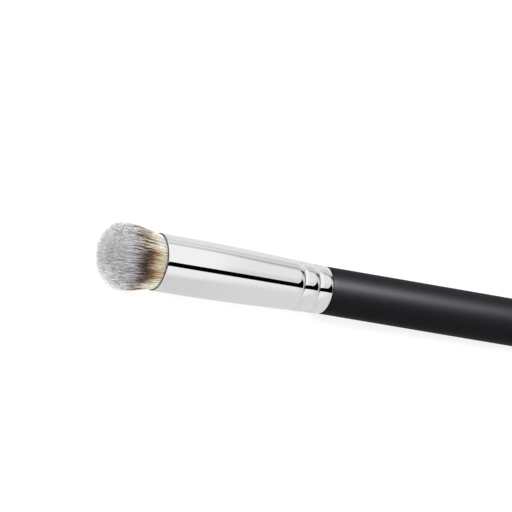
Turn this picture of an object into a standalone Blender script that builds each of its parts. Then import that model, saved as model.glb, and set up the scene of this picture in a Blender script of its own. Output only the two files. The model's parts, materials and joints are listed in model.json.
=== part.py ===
"""Slanted makeup brush: a turned handle, a crimped metal ferrule and a domed head of synthetic hair.

The brush is drawn standing on its butt, with its axis on local Z and the butt's flat at z = 0. It is
then laid on its side, head towards -X, so that the head and the handle's belly both touch z = 0.
A height is measured up from the butt, and a depth is measured down from the ferrule's front lip.
"""

import math

import bmesh
import bpy
from mathutils import Vector

MM = 0.001

# What meets face to face keeps this much clearance
joint_gap = 0.3 * MM

# Handle, outside the ferrule
handle_length = 100.0 * MM
butt_flat_diameter = 3.6 * MM
butt_round_height = 3.2 * MM
tail_diameter = 7.4 * MM
belly_diameter = 12.3 * MM
belly_height = 42.0 * MM
neck_diameter = 11.9 * MM
neck_round = 0.25 * MM
neck_ease = 1.2
butt_points = 5
tail_points = 9
neck_points = 4

# Ferrule, measured back from its lip
ferrule_length = 46.0 * MM
ferrule_wall = 0.4 * MM
front_diameter = 14.0 * MM
rear_diameter = 12.2 * MM
straight_length = 8.0 * MM
taper_done_share = 0.83
taper_points = 7
lip_roll = 0.15 * MM
lip_land = 0.25 * MM

# Crimp grooves, as distances from the groove's floor to the ferrule's rear edge
first_crimp_height = 8.6 * MM
second_crimp_height = 4.3 * MM
crimp_depth = 0.3 * MM
crimp_shoulder = 0.9 * MM
crimp_floor = 0.3 * MM
crimp_wall = 0.25 * MM
rim_land = 0.15 * MM
shoulder_points = 4

# Tenon, and the glue between the first crimp's shoulder and the tenon's top
tenon_length = 19.0 * MM
tenon_chamfer = 0.8 * MM
glue_to_crimp = 1.0 * MM
glue_to_top = 1.5 * MM
glue_thickness = 0.3 * MM

# Hair: the root is bound inside the ferrule and the bundle swells outside it
root_depth = 10.0 * MM
root_thickness = 3.0 * MM
root_diameter = 11.0 * MM
bulge_diameter = 15.7 * MM
bulge_reach = 8.35 * MM
dome_height = 6.6 * MM
slant_angle = math.radians(12.6)
slant_heading = math.radians(-37.0)
strand_rows = 12
strand_middle_share = 0.52
lip_thickness_share = 1.0
middle_thickness_share = 1.16
tip_thickness_share = 0.42
tip_scatter = 0.35 * MM
scatter_turns = 40

# Binding thread round the root
thread_diameter = 0.45 * MM
thread_turns = 4
thread_arc_points = 4

# Epoxy plug, as the share that it fills of the room between the root and the tenon
plug_fill_share = 0.66
meniscus_depth = 0.8 * MM
meniscus_points = 4

round_steps = 32
AXIS_MERGE = 0.01 * MM

HALF = 0.5
QUARTER_TURN = math.pi / 2
HEXAGON_SIDE = math.pi / 3
SHARP_EDGE = math.radians(30)

lip_height = handle_length + ferrule_length
glue_start = first_crimp_height + crimp_shoulder + glue_to_crimp
glue_end = tenon_length - glue_to_top


def material(name, colour, roughness, metallic):
    made = bpy.data.materials.new(name)
    made.use_nodes = True
    shader = made.node_tree.nodes["Principled BSDF"]
    shader.inputs["Base Color"].default_value = (*colour, 1)
    shader.inputs["Roughness"].default_value = roughness
    shader.inputs["Metallic"].default_value = metallic
    return made


def add_piece(name, mesh, finish):
    """Put a mesh in the brush's collection, on the brush's empty."""
    piece = bpy.data.objects.new(name, mesh)
    mesh.materials.append(finish)
    bpy.data.collections["makeup_brush"].objects.link(piece)
    piece.parent = bpy.data.objects["brush_axis"]
    return piece


def turned(name, profile, finish, closed):
    """Turn a profile of (radius, height) points about the axis; a closed profile makes a ring."""
    mesh = bpy.data.meshes.new(name)
    count = len(profile)
    edges = [(index, index + 1) for index in range(count - 1)]
    if closed:
        edges.append((count - 1, 0))
    mesh.from_pydata([(radius, 0, height) for radius, height in profile], edges, [])
    piece = add_piece(name, mesh, finish)
    screw = piece.modifiers.new("turned", "SCREW")
    screw.axis = "Z"
    screw.steps = round_steps
    screw.render_steps = round_steps
    screw.use_merge_vertices = True
    screw.merge_threshold = AXIS_MERGE
    screw.use_smooth_shade = True
    return piece


def spread(start, end, count):
    """Evenly spaced values from start to end, both included."""
    return [start + (end - start) * index / (count - 1) for index in range(count)]


def ferrule_radius(depth):
    """Outer radius without its crimps: straight behind the lip, then one easing taper."""
    run = max(0, depth - straight_length) / (ferrule_length - straight_length)
    eased = math.sin(QUARTER_TURN * taper_done_share * run) / math.sin(QUARTER_TURN * taper_done_share)
    return (front_diameter - (front_diameter - rear_diameter) * eased**2) * HALF


def crimps():
    """(depth, inset) points of the three pressed grooves: a round shoulder, a floor, a steep wall.

    The last groove lies at the rear edge and leaves only a narrow rim behind it.
    """
    points = []
    for height in (first_crimp_height, second_crimp_height, crimp_floor + crimp_wall + rim_land):
        floor = ferrule_length - height
        for share in spread(0, 1, shoulder_points):
            angle = QUARTER_TURN * share
            depth = floor - crimp_shoulder * (1 - math.sin(angle))
            points.append((depth, crimp_depth * (1 - math.cos(angle))))
        points.append((floor + crimp_floor, crimp_depth))
        points.append((floor + crimp_floor + crimp_wall, 0))
    return points


def ferrule_outline():
    """(depth, outer radius) points from just behind the lip to the rear edge."""
    grooves = crimps()
    plain = [lip_land, straight_length]
    plain += spread(straight_length, grooves[0][0], taper_points + 1)[1:-1]
    points = [(depth, 0) for depth in plain] + grooves + [(ferrule_length, 0)]
    return [(depth, ferrule_radius(depth) - inset) for depth, inset in points]


def bore_radius(depth):
    """Inner radius of the ferrule, without its crimps."""
    return ferrule_radius(depth) - ferrule_wall


def make_ferrule(finish):
    outline = ferrule_outline()
    lip_radius = front_diameter * HALF
    outer = [(lip_radius - lip_roll, lip_height)]
    outer += [(radius, lip_height - depth) for depth, radius in outline]
    inner = [(radius - ferrule_wall, lip_height - depth) for depth, radius in reversed(outline)]
    inner.append((lip_radius - ferrule_wall, lip_height))
    return turned("ferrule", outer + inner, finish, closed=True)


def handle_radius(height):
    """Outer radius of the handle between the butt's round and the neck."""
    if height < belly_height:
        away = (belly_height - height) / (belly_height - butt_round_height)
        return (belly_diameter - (belly_diameter - tail_diameter) * away**2) * HALF
    away = (height - belly_height) / (handle_length - belly_height)
    return (belly_diameter - (belly_diameter - neck_diameter) * away**neck_ease) * HALF


def tenon_radius(height):
    """Radius of the tenon where it fits the ferrule's bore, crimps left out."""
    return bore_radius(ferrule_length - height) - joint_gap


def handle_outline():
    """(radius, height) points of the handle outside the ferrule: neck, belly, tail and round butt."""
    neck = handle_length - joint_gap - neck_round
    heights = spread(neck, belly_height, neck_points)
    heights += spread(belly_height, butt_round_height, tail_points)[1:]
    points = [(handle_radius(height), height) for height in heights]
    flat = butt_flat_diameter * HALF
    for share in spread(0, 1, butt_points)[1:]:
        angle = QUARTER_TURN * share
        radius = flat + (tail_diameter * HALF - flat) * math.cos(angle)
        points.append((radius, butt_round_height * (1 - math.sin(angle))))
    return points


def make_handle(finish):
    """The tenon and its shoulder inside the ferrule, then the handle down to the butt's flat."""
    seat_cut = glue_thickness + joint_gap
    top = tenon_length
    profile = [
        (0, top),
        (tenon_radius(top) - seat_cut - tenon_chamfer * HALF, top),
        (tenon_radius(top) - seat_cut, top - tenon_chamfer),
        (tenon_radius(glue_end) - seat_cut, glue_end),
        (tenon_radius(glue_start) - seat_cut, glue_start - joint_gap),
        (tenon_radius(glue_start), glue_start - joint_gap),
    ]
    for depth, inset in crimps():
        height = ferrule_length - depth
        profile.append((tenon_radius(height) - inset, height))
    profile.append((profile[-1][0], -joint_gap))
    profile.append((neck_diameter * HALF - neck_round, -joint_gap))
    profile = [(radius, handle_length + height) for radius, height in profile]
    return turned("handle", profile + handle_outline() + [(0, 0)], finish, closed=False)


def make_tenon_glue(finish):
    """A thin sleeve that fills the space between the tenon's seat and the ferrule's bore."""
    outer = [(tenon_radius(height), handle_length + height) for height in (glue_end, glue_start)]
    inner = [(radius - glue_thickness, height) for radius, height in reversed(outer)]
    return turned("tenon_glue", outer + inner, finish, closed=True)


def make_epoxy_plug(finish):
    """A solid disc behind the root, its open face drawn up in a meniscus towards the walls."""
    top_depth = root_depth + root_thickness + joint_gap
    room = ferrule_length - tenon_length - top_depth
    low_depth = top_depth + room * plug_fill_share
    wall = bore_radius(low_depth) - joint_gap
    profile = [(0, lip_height - top_depth), (bore_radius(top_depth) - joint_gap, lip_height - top_depth)]
    for share in spread(1, 0, meniscus_points):
        rise = meniscus_depth * (1 - share**2)
        profile.append((wall * share, lip_height - low_depth + rise))
    return turned("epoxy_plug", profile, finish, closed=False)


def make_binding_thread(finish):
    """Turns of thread side by side round the bundle's root, drawn as one ring."""
    inner = root_diameter * HALF + joint_gap
    top = lip_height - root_depth - (root_thickness - thread_diameter * thread_turns) * HALF
    middle = inner + thread_diameter * HALF
    profile = []
    for turn in range(thread_turns):
        centre = top - thread_diameter * (turn + HALF)
        for share in spread(0, 1, thread_arc_points)[:-1]:
            angle = QUARTER_TURN * (1 - 2 * share)
            radius = middle + thread_diameter * HALF * math.cos(angle)
            profile.append((radius, centre + thread_diameter * HALF * math.sin(angle)))
    profile.append((middle, top - thread_diameter * thread_turns))
    profile.append((inner, top - thread_diameter * thread_turns))
    profile.append((inner, top))
    return turned("binding_thread", profile, finish, closed=True)


def bundle_radius(reach):
    """Radius of the hair a distance outside the lip: it swells in a sine up to the bulge."""
    lip = front_diameter * HALF - ferrule_wall - joint_gap
    share = min(1, reach / bulge_reach)
    return lip + (bulge_diameter * HALF - lip) * math.sin(QUARTER_TURN * share)


def tip_reach(spot):
    """How far outside the lip a strand ends: a dome on a slanted plane, with a small scatter.

    The spot is the strand's place in the bundle, as shares of the bundle's radius.
    """
    dome = dome_height * math.sqrt(max(0, 1 - spot.length_squared))
    uphill = spot.x * math.cos(slant_heading) + spot.y * math.sin(slant_heading)
    slant = bulge_diameter * HALF * uphill * math.tan(slant_angle)
    scatter = tip_scatter * math.sin(scatter_turns * (spot.x + 2 * spot.y))
    return bulge_reach + dome + slant + scatter


def round_out(point):
    """Carry a point of the unit hexagon to the unit disc, keeping its direction."""
    span = 0
    for side in range(3):
        across = HEXAGON_SIDE * (side + HALF)
        span = max(span, abs(point.x * math.sin(across) + point.y * math.cos(across)))
    length = point.xy.length
    return point * (span / math.cos(HEXAGON_SIDE * HALF) / length) if length else point


def raise_strands(mesh, strands, spot_of, reach_of, thickness_share):
    """Extrude each strand's face on its own to its reach outside the lip, and thin it there."""
    raised = bmesh.ops.extrude_discrete_faces(mesh, faces=strands)["faces"]
    for face in raised:
        centre = face.calc_center_median()
        spot = spot_of(centre)
        reach = reach_of(spot)
        middle = spot * bundle_radius(reach)
        for vert in face.verts:
            offset = (vert.co - centre) * thickness_share
            vert.co = Vector((middle.x + offset.x, middle.y + offset.y, lip_height + reach))
    return raised


def make_bristles(finish):
    """Strands of three sides, on every other triangle of a disc divided into a triangle grid."""
    mesh = bmesh.new()
    bmesh.ops.create_circle(mesh, cap_ends=True, cap_tris=True, segments=6, radius=1)
    bmesh.ops.subdivide_edges(mesh, edges=mesh.edges[:], cuts=strand_rows - 1, use_grid_fill=True)
    strands = []
    for face in mesh.faces:
        sides = [vert.co.x - face.calc_center_median().x for vert in face.verts]
        if max(sides) > -min(sides):
            strands.append(face)
    root_radius = root_diameter * HALF
    for vert in mesh.verts:
        spot = round_out(vert.co) * root_radius
        vert.co = Vector((spot.x, spot.y, lip_height - root_depth))
    rim = [edge for edge in mesh.edges if edge.is_boundary]
    lowered = bmesh.ops.extrude_edge_only(mesh, edges=rim)["geom"]
    for item in lowered:
        if isinstance(item, bmesh.types.BMVert):
            item.co.z -= root_thickness
    bmesh.ops.edgeloop_fill(mesh, edges=[item for item in lowered if isinstance(item, bmesh.types.BMEdge)])

    def spot_at_root(centre):
        return centre.xy / root_radius

    def spot_outside(centre):
        return centre.xy / bundle_radius(centre.z - lip_height)

    def no_reach(spot):
        return 0

    def middle_reach(spot):
        return tip_reach(spot) * strand_middle_share

    at_lip = raise_strands(mesh, strands, spot_at_root, no_reach, lip_thickness_share)
    halfway = raise_strands(mesh, at_lip, spot_outside, middle_reach, middle_thickness_share)
    raise_strands(mesh, halfway, spot_outside, tip_reach, tip_thickness_share)
    bmesh.ops.recalc_face_normals(mesh, faces=mesh.faces[:])
    made = bpy.data.meshes.new("bristles")
    mesh.to_mesh(made)
    mesh.free()
    made.shade_smooth()
    made.set_sharp_from_angle(angle=SHARP_EDGE)
    return add_piece("bristles", made, finish)


def corners_of(pieces):
    """World places of the pieces' corners, with their modifiers on."""
    graph = bpy.context.evaluated_depsgraph_get()
    corners = []
    for piece in pieces:
        shape = piece.evaluated_get(graph)
        corners += [shape.matrix_world @ vert.co for vert in shape.to_mesh().vertices]
        shape.to_mesh_clear()
    return corners


def rest_angle(handle, bristles):
    """Slope, against the axis, of the line that touches the standing head and handle from -X."""
    head = min(corners_of([bristles]), key=lambda corner: corner.x)
    return min(math.atan2(corner.x - head.x, head.z - corner.z) for corner in corners_of([handle]))


def lay_down(pieces):
    """Turn the brush on its side, put its lowest point on z = 0 and centre its length on x = 0."""
    axis = bpy.data.objects["brush_axis"]
    bpy.context.view_layer.update()
    axis.rotation_euler.y = rest_angle(pieces["handle"], pieces["bristles"]) - QUARTER_TURN
    bpy.context.view_layer.update()
    corners = corners_of(pieces.values())
    along = [corner.x for corner in corners]
    axis.location = (-(min(along) + max(along)) * HALF, 0, -min(corner.z for corner in corners))
    bpy.context.view_layer.update()


def main():
    for old in list(bpy.data.objects):
        bpy.data.objects.remove(old)
    collection = bpy.data.collections.new("makeup_brush")
    bpy.context.scene.collection.children.link(collection)
    collection.objects.link(bpy.data.objects.new("brush_axis", None))

    lacquer = material("satin_black_lacquer", (0.018, 0.018, 0.020), 0.42, 0)
    plating = material("polished_plating", (0.83, 0.83, 0.84), 0.06, 1)
    filament = material("dyed_filament", (0.50, 0.48, 0.47), 0.65, 0)
    epoxy = material("cured_epoxy", (0.62, 0.50, 0.28), 0.25, 0)
    cotton = material("waxed_cotton", (0.78, 0.74, 0.64), 0.80, 0)
    glue = material("wood_glue", (0.72, 0.66, 0.52), 0.50, 0)

    pieces = [
        make_handle(lacquer),
        make_ferrule(plating),
        make_tenon_glue(glue),
        make_epoxy_plug(epoxy),
        make_binding_thread(cotton),
        make_bristles(filament),
    ]
    lay_down({piece.name: piece for piece in pieces})


main()
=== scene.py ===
"""Slanted makeup brush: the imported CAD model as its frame, with fine hair, a crimped plated ferrule,
a lacquered handle and a plain white studio.

Lengths are metres. The brush's own axes are: up its axis from the butt to the head, side and top across.
A height is measured up from the butt's flat, a depth down from the ferrule's front lip, and a reach
outwards from that lip. The shapes repeat the named sizes of the CAD source at a finer step.
"""

import json
import math

import bpy
import numpy as np
from mathutils import Matrix, Vector

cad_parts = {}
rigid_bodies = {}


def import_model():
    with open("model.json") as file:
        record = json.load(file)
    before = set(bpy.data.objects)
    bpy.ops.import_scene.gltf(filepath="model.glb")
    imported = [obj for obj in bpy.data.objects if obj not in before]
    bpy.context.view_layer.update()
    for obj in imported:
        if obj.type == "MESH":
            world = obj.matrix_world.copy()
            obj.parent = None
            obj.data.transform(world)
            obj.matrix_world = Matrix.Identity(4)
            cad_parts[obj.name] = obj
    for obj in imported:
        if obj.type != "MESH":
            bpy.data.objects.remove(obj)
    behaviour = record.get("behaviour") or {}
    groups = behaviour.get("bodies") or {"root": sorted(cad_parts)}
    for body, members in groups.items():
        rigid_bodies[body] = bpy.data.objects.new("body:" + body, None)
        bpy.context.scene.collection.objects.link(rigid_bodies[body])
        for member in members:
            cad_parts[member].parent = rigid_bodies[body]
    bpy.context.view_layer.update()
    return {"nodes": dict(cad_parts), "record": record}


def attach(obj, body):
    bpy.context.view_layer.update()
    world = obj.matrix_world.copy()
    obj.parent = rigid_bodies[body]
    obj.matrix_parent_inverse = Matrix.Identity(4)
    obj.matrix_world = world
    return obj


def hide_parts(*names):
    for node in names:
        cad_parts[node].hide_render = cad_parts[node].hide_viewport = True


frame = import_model()

bl_info = {
    "name": "Slanted Makeup Brush",
    "version": (1, 0, 0),
    "blender": (4, 5, 0),
    "location": "View3D > Sidebar > Brush",
    "description": "Dresses the packed makeup brush with fine hair, plating, lacquer and a studio",
    "category": "Object",
}

MM = 0.001

# The brush's axis, from the record's mount on the butt
butt_mount = next(mount for mount in frame["record"]["mounts"] if mount["name"] == "butt_flat")
BUTT = np.array(butt_mount["pos_m"])
UP_AXIS = -np.array(butt_mount["axis"]) / np.linalg.norm(butt_mount["axis"])
SIDE = np.array([0.0, 1.0, 0.0])
TOP = np.cross(SIDE, UP_AXIS)

HANDLE_LENGTH = 100 * MM
FERRULE_LENGTH = 46 * MM
LIP_HEIGHT = HANDLE_LENGTH + FERRULE_LENGTH
WALL = 0.4 * MM
JOINT_GAP = 0.3 * MM

TURN_STEPS = 256
SHARP_ANGLE = math.radians(35)


def linear(hex_colour):
    """An sRGB hex colour as linear red, green and blue."""
    values = [int(hex_colour[at : at + 2], 16) / 255 for at in (0, 2, 4)]
    return [value / 12.92 if value <= 0.04045 else ((value + 0.055) / 1.055) ** 2.4 for value in values]


def in_row(across_top, across_side, height):
    """Row-frame points from brush coordinates: butt + top * x + side * y + axis * height."""
    shape = np.broadcast(across_top, across_side, height).shape
    x, y, z = (np.broadcast_to(part, shape)[..., None] for part in (across_top, across_side, height))
    return BUTT + x * TOP + y * SIDE + z * UP_AXIS


def put_mesh(name, points, quads, triangles, material):
    """A mesh object at the origin from arrays of points, four-cornered and three-cornered faces."""
    mesh = bpy.data.meshes.new(name)
    points = points.reshape(-1, 3)
    quads, triangles = quads.reshape(-1, 4), triangles.reshape(-1, 3)
    corners = np.concatenate([quads.ravel(), triangles.ravel()])
    starts = np.concatenate([np.arange(len(quads)) * 4, quads.size + np.arange(len(triangles)) * 3])
    mesh.vertices.add(len(points))
    mesh.vertices.foreach_set("co", points.astype(np.float32).ravel())
    mesh.loops.add(len(corners))
    mesh.loops.foreach_set("vertex_index", corners.astype(np.int32))
    mesh.polygons.add(len(starts))
    mesh.polygons.foreach_set("loop_start", starts.astype(np.int32))
    mesh.update(calc_edges=True)
    mesh.shade_smooth()
    mesh.materials.append(material)
    made = bpy.data.objects.new(name, mesh)
    bpy.context.scene.collection.objects.link(made)
    return made


def turned(name, radius, height, material, closed):
    """Surface of revolution: a profile point (r, h) goes to (r cos a, r sin a, h), with a in even steps.

    The profile runs down its outside. A closed one makes a ring, and an open one starts and ends on
    the axis, where each end is one point in a fan of triangles.
    """
    turn = np.linspace(0, 2 * math.pi, TURN_STEPS, endpoint=False)
    body = slice(None) if closed else slice(1, -1)
    ring_radius, ring_height = radius[body, None], height[body, None]
    points = in_row(ring_radius * np.cos(turn), ring_radius * np.sin(turn), ring_height).reshape(-1, 3)
    rings = len(ring_radius)
    row = np.arange(rings if closed else rings - 1)[:, None]
    upper, lower = row * TURN_STEPS, (row + 1) % rings * TURN_STEPS
    here = np.arange(TURN_STEPS)
    beside = (here + 1) % TURN_STEPS
    quads = np.stack([upper + here, lower + here, lower + beside, upper + beside], -1)
    triangles = np.zeros((0, 3), int)
    if not closed:
        first, last = np.full((2, TURN_STEPS), [[len(points)], [len(points) + 1]])
        points = np.concatenate([points, in_row(0, 0, height[[0, -1]])])
        bottom = (rings - 1) * TURN_STEPS
        head = np.stack([first, here, beside], -1)
        foot = np.stack([last, bottom + beside, bottom + here], -1)
        triangles = np.concatenate([head, foot])
    made = put_mesh(name, points, quads, triangles, material)
    made.data.set_sharp_from_angle(angle=SHARP_ANGLE)
    return made


def add_node(tree, kind, inputs=None, **settings):
    """Add a shader node, set its properties, and give its inputs values or links.

    An input takes a value, an output of a node, or a node itself, which stands for its first live output.
    """
    node = tree.nodes.new("ShaderNode" + kind)
    for name, value in settings.items():
        setattr(node, name, value)
    for key, value in (inputs or {}).items():
        if isinstance(value, bpy.types.Node):
            value = next(output for output in value.outputs if output.enabled)
        if isinstance(value, bpy.types.NodeSocket):
            tree.links.new(value, node.inputs[key])
        else:
            node.inputs[key].default_value = value
    return node


def new_material(name):
    """An empty node material and its tree."""
    material = bpy.data.materials.new(name)
    material.use_nodes = True
    material.node_tree.nodes.clear()
    return material, material.node_tree


class HairSettings(bpy.types.PropertyGroup):
    """The head of hair: how many fibres, how they wave and how unevenly they end."""

    clumps: bpy.props.IntProperty(
        name="Clumps", description="Clumps that the tufts lean into", default=260, min=1
    )
    tufts: bpy.props.IntProperty(
        name="Tufts", description="Tufts of fibres in the head", default=2800, min=1
    )
    tuft_fibres: bpy.props.IntProperty(
        name="Fibres in a tuft", description="Fibres that end close together", default=8, min=1
    )
    fibre_width: bpy.props.FloatProperty(
        name="Fibre width", description="Width of one filament", default=0.105 * MM, unit="LENGTH"
    )
    crimp_height: bpy.props.FloatProperty(
        name="Crimp height",
        description="How far a filament waves to each side",
        default=0.05 * MM,
        unit="LENGTH",
    )
    crimp_wave: bpy.props.FloatProperty(
        name="Crimp wave", description="Length of one wave along a filament", default=3.0 * MM, unit="LENGTH"
    )
    taper_length: bpy.props.FloatProperty(
        name="Taper", description="Length over which a tip thins", default=2.5 * MM, unit="LENGTH"
    )
    tip_scatter: bpy.props.FloatProperty(
        name="Tip scatter", description="How unevenly the tips end", default=0.34 * MM, unit="LENGTH"
    )


class FerruleSettings(bpy.types.PropertyGroup):
    """The metal tube between the hair and the handle."""

    wall: bpy.props.FloatProperty(
        name="Wall", description="Thickness of the tube", default=WALL, unit="LENGTH"
    )
    colour: bpy.props.FloatVectorProperty(
        name="Plating",
        description="Colour of the plating",
        default=linear("F0F0F1"),
        subtype="COLOR",
        size=3,
    )
    # Painted shade: colour of a dark line painted at the lip, for its dark reflection and the shade between
    # hair and metal
    edge: bpy.props.FloatVectorProperty(
        name="Painted lip shade",
        description="Colour of the shade line painted at the lip",
        default=linear("585252"),
        subtype="COLOR",
        size=3,
    )
    polish: bpy.props.FloatProperty(
        name="Roughness", description="Roughness of the polished plating", default=0.03, min=0, max=1
    )


class HandleSettings(bpy.types.PropertyGroup):
    """The lacquered wooden handle."""

    colour: bpy.props.FloatVectorProperty(
        name="Lacquer",
        description="Colour of the lacquer",
        default=linear("151518"),
        subtype="COLOR",
        size=3,
    )
    satin: bpy.props.FloatProperty(
        name="Roughness", description="Roughness of the satin lacquer", default=0.49, min=0, max=1
    )


class StageSettings(bpy.types.PropertyGroup):
    """Camera and floor."""

    lens: bpy.props.FloatProperty(
        name="Lens", description="Focal length on a 36 mm sensor", default=154.4, min=1, unit="CAMERA"
    )
    floor_size: bpy.props.FloatProperty(
        name="Floor", description="Side of the square floor", default=3.0, unit="LENGTH", min=0.1
    )


# The ferrule is straight behind its lip, then tapers by an eased curve
FRONT_RADIUS = 7.0 * MM
STRAIGHT_LENGTH = 8 * MM
TAPER = 0.9 * MM
TAPER_TURN = 0.83 * math.pi / 2
REAR_EDGE = 46.15 * MM

# Its lip is set back from the CAD's and rounded by quarter ellipses, outside and inside
LIP_ROWS = 9
LIP_SETBACK = 0.12 * MM
LIP_ROUND = 0.15 * MM
OUTER_ROUND_LENGTH = 0.3 * MM
INNER_ROUND_LENGTH = 0.25 * MM

# Each groove sinks slowly, climbs quickly and ends on a low crown
GROOVE_DEPTHS = np.array([38.0, 42.3, 46.4]) * MM
GROOVE_INSET = 0.22 * MM
SINK_LENGTH = 2.1 * MM
CLIMB_LENGTH = 0.3 * MM
CROWN_INSET = 0.05 * MM
CROWN_LENGTH = 1.2 * MM


def ferrule_radius(depth):
    """Outer radius without crimps: the front radius over the straight length, then a taper.

    The taper grows with the square of sin(q s) / sin(q), q being 0.83 of a quarter turn and s the share
    of the run from the straight length to the ferrule's end.
    """
    run = np.maximum(0, depth - STRAIGHT_LENGTH) / (FERRULE_LENGTH - STRAIGHT_LENGTH)
    return FRONT_RADIUS - TAPER * (np.sin(TAPER_TURN * run) / math.sin(TAPER_TURN)) ** 2


def crimp_inset(depth):
    """How far the three pressed grooves draw the tube in.

    Before a groove's bottom the tube sinks with the cube of the share of the way. Behind it a quarter
    ellipse climbs to the crown of the next band, and that ends in a parabola. The rear edge cuts the
    last groove off before its bottom.
    """
    inset = np.zeros_like(depth)
    for bottom in GROOVE_DEPTHS:
        sink = GROOVE_INSET * np.clip(1 + (depth - bottom) / SINK_LENGTH, 0, 1) ** 3
        share = np.clip(1 - (depth - bottom) / CLIMB_LENGTH, 0, 1)
        climb = CROWN_INSET + (GROOVE_INSET - CROWN_INSET) * (1 - np.sqrt(1 - share**2))
        crown = CROWN_INSET * np.clip(1 - (depth - bottom - CLIMB_LENGTH) / CROWN_LENGTH, 0, 1) ** 2
        behind = np.where(depth < bottom + CLIMB_LENGTH, climb, crown)
        inset += np.where(depth <= bottom, sink, behind)
    return inset


def groove_rows():
    """Depths that follow the grooves closely, from the first one's start to the tube's rear edge."""
    run = np.linspace(0, 1, 21)[1:]
    curve = 1 - np.cos(np.linspace(0, math.pi / 2, 9)[1:])
    rows = []
    for bottom in GROOVE_DEPTHS:
        rows.append(bottom - SINK_LENGTH * (1 - run))
        rows.append(bottom + CLIMB_LENGTH * curve)
        rows.append(bottom + CLIMB_LENGTH + CROWN_LENGTH * np.linspace(0, 1, 9)[1:])
    rows = np.concatenate(rows)
    return np.append(rows[rows < REAR_EDGE - 0.02 * MM], REAR_EDGE)


def ferrule_outline():
    """(depth, outer radius) from the rounded lip to the rear edge."""
    angle = np.linspace(0, math.pi / 2, LIP_ROWS)
    lip = LIP_SETBACK + OUTER_ROUND_LENGTH * (1 - np.cos(angle))
    straight = np.linspace(0.5 * MM, STRAIGHT_LENGTH, 8)
    taper = np.linspace(STRAIGHT_LENGTH + 0.5 * MM, GROOVE_DEPTHS[0] - SINK_LENGTH, 56)
    depth = np.concatenate([lip, straight, taper, groove_rows()])
    inset = crimp_inset(depth)
    inset[:LIP_ROWS] = LIP_ROUND * (1 - np.sin(angle))
    return depth, ferrule_radius(depth) - inset


def plating_material(settings):
    """Chromium plating, electroplated over a drawn and buffed brass tube.

    It mirrors the room almost without blur, a little brighter than steel. The buffing leaves a faint
    unevenness a few millimetres long, which only bends straight reflections a little. At the lip a dark,
    rougher line is painted on: a painted reflection of the dim room ahead and painted shade between the
    hair and the metal.
    """
    material, tree = new_material("buffed_chromium_plating")
    place = add_node(tree, "TexCoord").outputs["Object"]
    ripple = add_node(tree, "TexNoise", {"Vector": place, "Scale": 1 / (3 * MM), "Detail": 1.0})
    bump = add_node(tree, "Bump", {"Height": ripple, "Strength": 0.01, "Distance": 0.02 * MM})
    haze = add_node(tree, "TexNoise", {"Vector": place, "Scale": 1 / (0.9 * MM), "Detail": 3.0})
    low, high = settings.polish * 0.8, settings.polish * 1.2
    rough = add_node(tree, "MapRange", {"Value": haze, "To Min": low, "To Max": high})

    # Painted shade: a dark line over the first 0.06 mm from the lip, fading over the next 0.04 mm, for the
    # lip's dark reflection and the shade between hair and metal
    height = add_node(tree, "VectorMath", {0: place, 1: Vector(UP_AXIS)}, operation="DOT_PRODUCT")
    lip = float(BUTT @ UP_AXIS) + LIP_HEIGHT - LIP_SETBACK
    fade = {"From Min": lip - 0.1 * MM, "From Max": lip - 0.06 * MM}
    lip_shade = add_node(tree, "MapRange", {"Value": height, **fade})
    colours = {"A": (*settings.colour, 1), "B": (*settings.edge, 1)}
    tone = add_node(tree, "Mix", {"Factor": lip_shade, **colours}, data_type="RGBA")
    dulled = add_node(tree, "Math", {0: lip_shade, 1: 0.4, 2: rough}, operation="MULTIPLY_ADD")
    look = {"Base Color": tone, "Metallic": 1.0, "Roughness": dulled, "Normal": bump}
    add_node(tree, "OutputMaterial", {"Surface": add_node(tree, "BsdfPrincipled", look)})
    return material


class BRUSH_OT_ferrule(bpy.types.Operator):
    """Turn the ferrule: a thin tube with a rounded lip and three pressed grooves"""

    bl_idname = "brush.ferrule"
    bl_label = "Ferrule"

    def execute(self, context):
        settings = context.scene.brush_ferrule
        depth, radius = ferrule_outline()
        inner_depth = depth[LIP_ROWS - 1 :][::-1]
        inner_radius = radius[LIP_ROWS - 1 :][::-1] - settings.wall
        angle = np.linspace(0, math.pi / 2, 6)[1:]
        edge_depth = LIP_SETBACK + INNER_ROUND_LENGTH * (1 - np.sin(angle))
        edge_radius = FRONT_RADIUS - settings.wall + LIP_ROUND * (1 - np.cos(angle))
        all_depth = np.concatenate([depth, inner_depth, edge_depth])
        all_radius = np.concatenate([radius, inner_radius, edge_radius])
        plating = plating_material(settings)
        tube = turned("ferrule_tube", all_radius, LIP_HEIGHT - all_depth, plating, closed=True)
        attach(tube, "root")
        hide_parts("ferrule")
        return {"FINISHED"}


# The handle's radii from its neck at the ferrule to its butt, and the heights between them
NECK_RADIUS = 5.95 * MM
BELLY_RADIUS = 6.15 * MM
TAIL_RADIUS = 3.7 * MM
FLAT_RADIUS = 1.8 * MM
NECK_ROUND = 0.25 * MM
BELLY_HEIGHT = 42 * MM
BUTT_HEIGHT = 3.2 * MM

# The tenon, measured up from the handle's shoulder: full below the glue, thinner where the glue lies
TENON_LENGTH = 19 * MM
GLUE_FOOT = 10.2 * MM
GLUE_TOP = 17.5 * MM
GLUE_INSET = 0.6 * MM
TENON_CHAMFER = 0.4 * MM


def tenon_radius(height):
    """Full radius of the tenon at a height over the shoulder: the ferrule's, less its wall and the gap."""
    return ferrule_radius(FERRULE_LENGTH - height) - WALL - JOINT_GAP


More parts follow.
